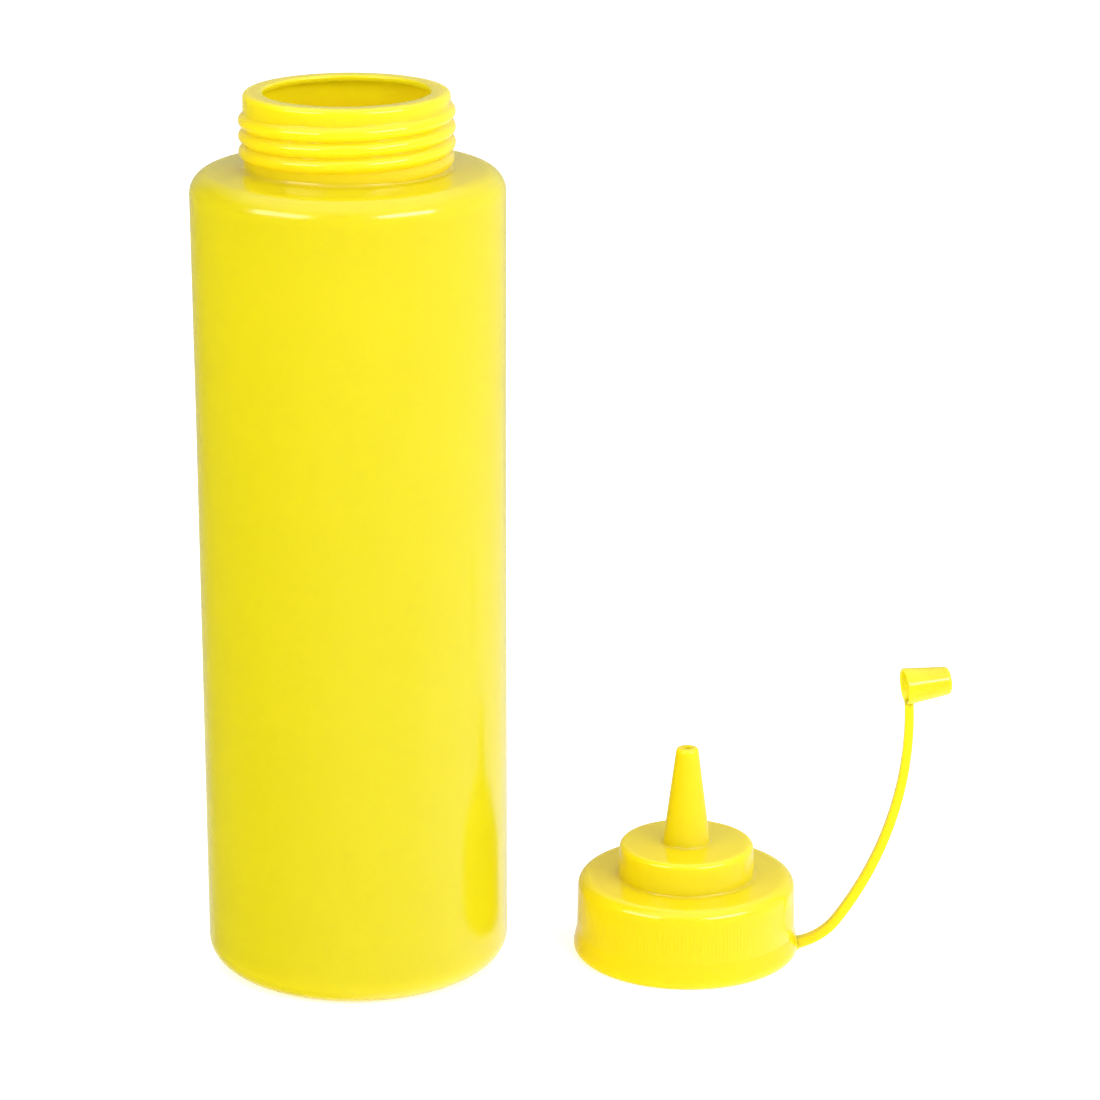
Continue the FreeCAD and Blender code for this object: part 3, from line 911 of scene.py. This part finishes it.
class SQUEEZE_OT_tip_cap(bpy.types.Operator):
    """Models the tip cap on the strap's end"""

    bl_idname = "squeeze.tip_cap"
    bl_label = "Tip cap"

    def execute(self, context):
        size = context.scene.squeeze_cap
        wall, length = size.tip_cap_wall, size.tip_length
        section = [
            (0, length, 0, 0),
            (size.tip_end, length, size.tip_cap_edge, 8),
            (size.tip_mouth, 0, MOUTH_OUTER_EDGE, 4),
            (size.tip_mouth - wall, 0, MOUTH_INNER_EDGE, 3),
            (size.tip_end - wall, length - STRAIGHT_BORE, 0, 0),
            (size.tip_end - wall, length - wall, TIP_CAP_INNER_EDGE, 4),
            (0, length - wall, 0, 0),
        ]
        piece = draw_section("tip_cap", section)
        turn_chain(TIP_CAP_STEPS)
        rise, turn = size.tip_cap_rise, size.tip_cap_turn
        axis = Vector(
            (
                math.cos(rise) * math.cos(turn),
                math.sin(turn),
                math.sin(rise) * math.cos(turn),
            )
        )
        piece.rotation_mode = "QUATERNION"
        piece.rotation_quaternion = axis.to_track_quat("Z", "Y")
        piece.location = TIP_CAP_PLACE
        place_on_cap(piece)
        smooth(piece)
        finish_piece(piece, plain_plastic(context.scene.squeeze_look), "cap")
        return {"FINISHED"}


def lay_floor():
    """Lays white paper under the part."""
    deselect_all()
    bpy.ops.mesh.primitive_plane_add(size=FLOOR_SIZE, location=(0, 0, 0))
    floor = bpy.context.active_object
    floor.name = "floor"
    # Matt paper has no gloss, and glows a little so that it stays pure white.
    paper = bpy.data.materials.new("matt white paper")
    paper.use_nodes = True
    tree = paper.node_tree
    tree.nodes.clear()
    shader = add_node(
        tree,
        "ShaderNodeBsdfPrincipled",
        Base_Color=(*linear(PAPER_WHITE), 1.0),
        Roughness=PAPER_ROUGHNESS,
        Specular_IOR_Level=0.0,
        Emission_Color=(1.0, 1.0, 1.0, 1.0),
        Emission_Strength=PAPER_EMISSION,
    )
    add_node(tree, "ShaderNodeOutputMaterial", Surface=shader.outputs["BSDF"])
    floor.data.materials.append(paper)
    # The gloss sees the surroundings' lower half instead of an endless white sheet.
    floor.visible_glossy = False


def hang_softbox(name, azimuth, elevation, width, height, radiance):
    """An area light aimed at the part from that direction."""
    azimuth, elevation = math.radians(azimuth), math.radians(elevation)
    towards = Vector(
        (
            math.sin(azimuth) * math.cos(elevation),
            -math.cos(azimuth) * math.cos(elevation),
            math.sin(elevation),
        )
    )
    deselect_all()
    bpy.ops.object.light_add(
        type="AREA",
        location=SOFTBOX_TARGET + SOFTBOX_DISTANCE * towards,
        rotation=towards.to_track_quat("Z", "Y").to_euler(),
    )
    lamp = bpy.context.active_object
    lamp.name = name
    lamp.data.shape = "RECTANGLE"
    lamp.data.size = width
    lamp.data.size_y = height
    lamp.data.energy = radiance * math.pi * width * height


def make_surroundings():
    """A studio that is bright behind, right and above, and dim at the front left."""
    world = bpy.data.worlds.new("studio")
    world.use_nodes = True
    tree = world.node_tree
    tree.nodes.clear()
    towards = add_node(tree, "ShaderNodeTexCoord").outputs["Generated"]
    split = add_node(tree, "ShaderNodeSeparateXYZ", Vector=towards)
    heading = add_node(
        tree,
        "ShaderNodeMath",
        {"operation": "ARCTAN2"},
        i0=split.outputs["X"],
        i1=split.outputs["Y"],
    )
    share = add_node(
        tree,
        "ShaderNodeMapRange",
        Value=heading.outputs["Value"],
        From_Min=-math.pi,
        From_Max=math.pi,
    )
    walls = add_node(tree, "ShaderNodeValToRGB", Fac=share.outputs["Result"])
    ramp = walls.color_ramp
    ramp.interpolation = "EASE"
    while len(ramp.elements) < len(SURROUNDINGS):
        ramp.elements.new(0.5)
    for element, (angle, strength) in zip(ramp.elements, SURROUNDINGS):
        element.position = (angle + 180) / 360
        element.color = (strength, strength, strength, 1.0)
    paper = add_node(
        tree,
        "ShaderNodeMapRange",
        {"interpolation_type": "SMOOTHSTEP"},
        Value=split.outputs["Z"],
        From_Min=PAPER_EDGE[0],
        From_Max=PAPER_EDGE[1],
        To_Min=1.0,
        To_Max=PAPER_GLOW,
    )
    sides = add_node(
        tree,
        "ShaderNodeMath",
        {"operation": "MULTIPLY"},
        i0=walls.outputs["Color"],
        i1=paper.outputs["Result"],
    )
    overhead = add_node(
        tree,
        "ShaderNodeMapRange",
        {"interpolation_type": "SMOOTHSTEP"},
        Value=split.outputs["Z"],
        From_Min=CEILING_EDGE[0],
        From_Max=CEILING_EDGE[1],
    )
    around = add_node(
        tree,
        "ShaderNodeMix",
        i0=overhead.outputs["Result"],
        i2=sides.outputs["Value"],
        i3=CEILING_STRENGTH,
    )
    # Seen directly, the surroundings are an even pale backdrop from every side.
    seen = add_node(tree, "ShaderNodeLightPath").outputs["Is Camera Ray"]
    shown = add_node(tree, "ShaderNodeMix", i0=seen, i2=around.outputs[0], i3=1.0)
    glow = add_node(tree, "ShaderNodeBackground", Strength=shown.outputs[0])
    add_node(tree, "ShaderNodeOutputWorld", Surface=glow.outputs["Background"])
    return world


class SQUEEZE_OT_stage(bpy.types.Operator):
    """Sets the floor, the lights and the camera"""

    bl_idname = "squeeze.stage"
    bl_label = "Stage"

    def execute(self, context):
        stage = context.scene.squeeze_stage
        lay_floor()
        for name, box in SOFTBOXES.items():
            hang_softbox(name, *box)
        context.scene.world = make_surroundings()
        target = Vector((stage.aim_across, 0, stage.aim_height))
        drop = stage.camera_drop
        back = stage.camera_distance
        place = target + back * Vector((0, -math.cos(drop), math.sin(drop)))
        bpy.ops.object.camera_add(
            location=place, rotation=(math.pi / 2 - drop, 0, 0)
        )
        camera = context.active_object
        camera.name = "camera"
        camera.data.sensor_width = SENSOR_WIDTH
        camera.data.lens = stage.lens
        camera.data.clip_start = CLIP_START
        camera.data.clip_end = CLIP_END
        context.scene.camera = camera
        context.scene.view_settings.view_transform = "Standard"
        return {"FINISHED"}


class SQUEEZE_PT_panel(bpy.types.Panel):
    """Sizes, colours and pieces of the squeeze bottle"""

    bl_label = "Squeeze bottle"
    bl_idname = "SQUEEZE_PT_panel"
    bl_space_type = "VIEW_3D"
    bl_region_type = "UI"
    bl_category = "Squeeze bottle"

    def draw(self, context):
        layout = self.layout
        for piece in PIECES:
            layout.operator(piece.bl_idname)
        for name, group in GROUPS.items():
            box = layout.box()
            settings = getattr(context.scene, name)
            for size in group.__annotations__:
                box.prop(settings, size)


PIECES = [
    SQUEEZE_OT_bottle,
    SQUEEZE_OT_cap,
    SQUEEZE_OT_strap,
    SQUEEZE_OT_tip_cap,
    SQUEEZE_OT_stage,
]
GROUPS = {
    "squeeze_bottle": BottleSizes,
    "squeeze_cap": CapSizes,
    "squeeze_look": PlasticLook,
    "squeeze_stage": StageSettings,
}


def register():
    for group in GROUPS.values():
        bpy.utils.register_class(group)
    for name, group in GROUPS.items():
        setattr(bpy.types.Scene, name, PointerProperty(type=group))
    for piece in PIECES:
        bpy.utils.register_class(piece)
    bpy.utils.register_class(SQUEEZE_PT_panel)


def unregister():
    bpy.utils.unregister_class(SQUEEZE_PT_panel)
    for piece in reversed(PIECES):
        bpy.utils.unregister_class(piece)
    for name, group in GROUPS.items():
        delattr(bpy.types.Scene, name)
        bpy.utils.unregister_class(group)


def main():
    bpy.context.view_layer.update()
    register()
    bpy.ops.squeeze.bottle()
    bpy.ops.squeeze.cap()
    bpy.ops.squeeze.strap()
    bpy.ops.squeeze.tip_cap()
    bpy.ops.squeeze.stage()


if __name__ == "__main__":
    main()
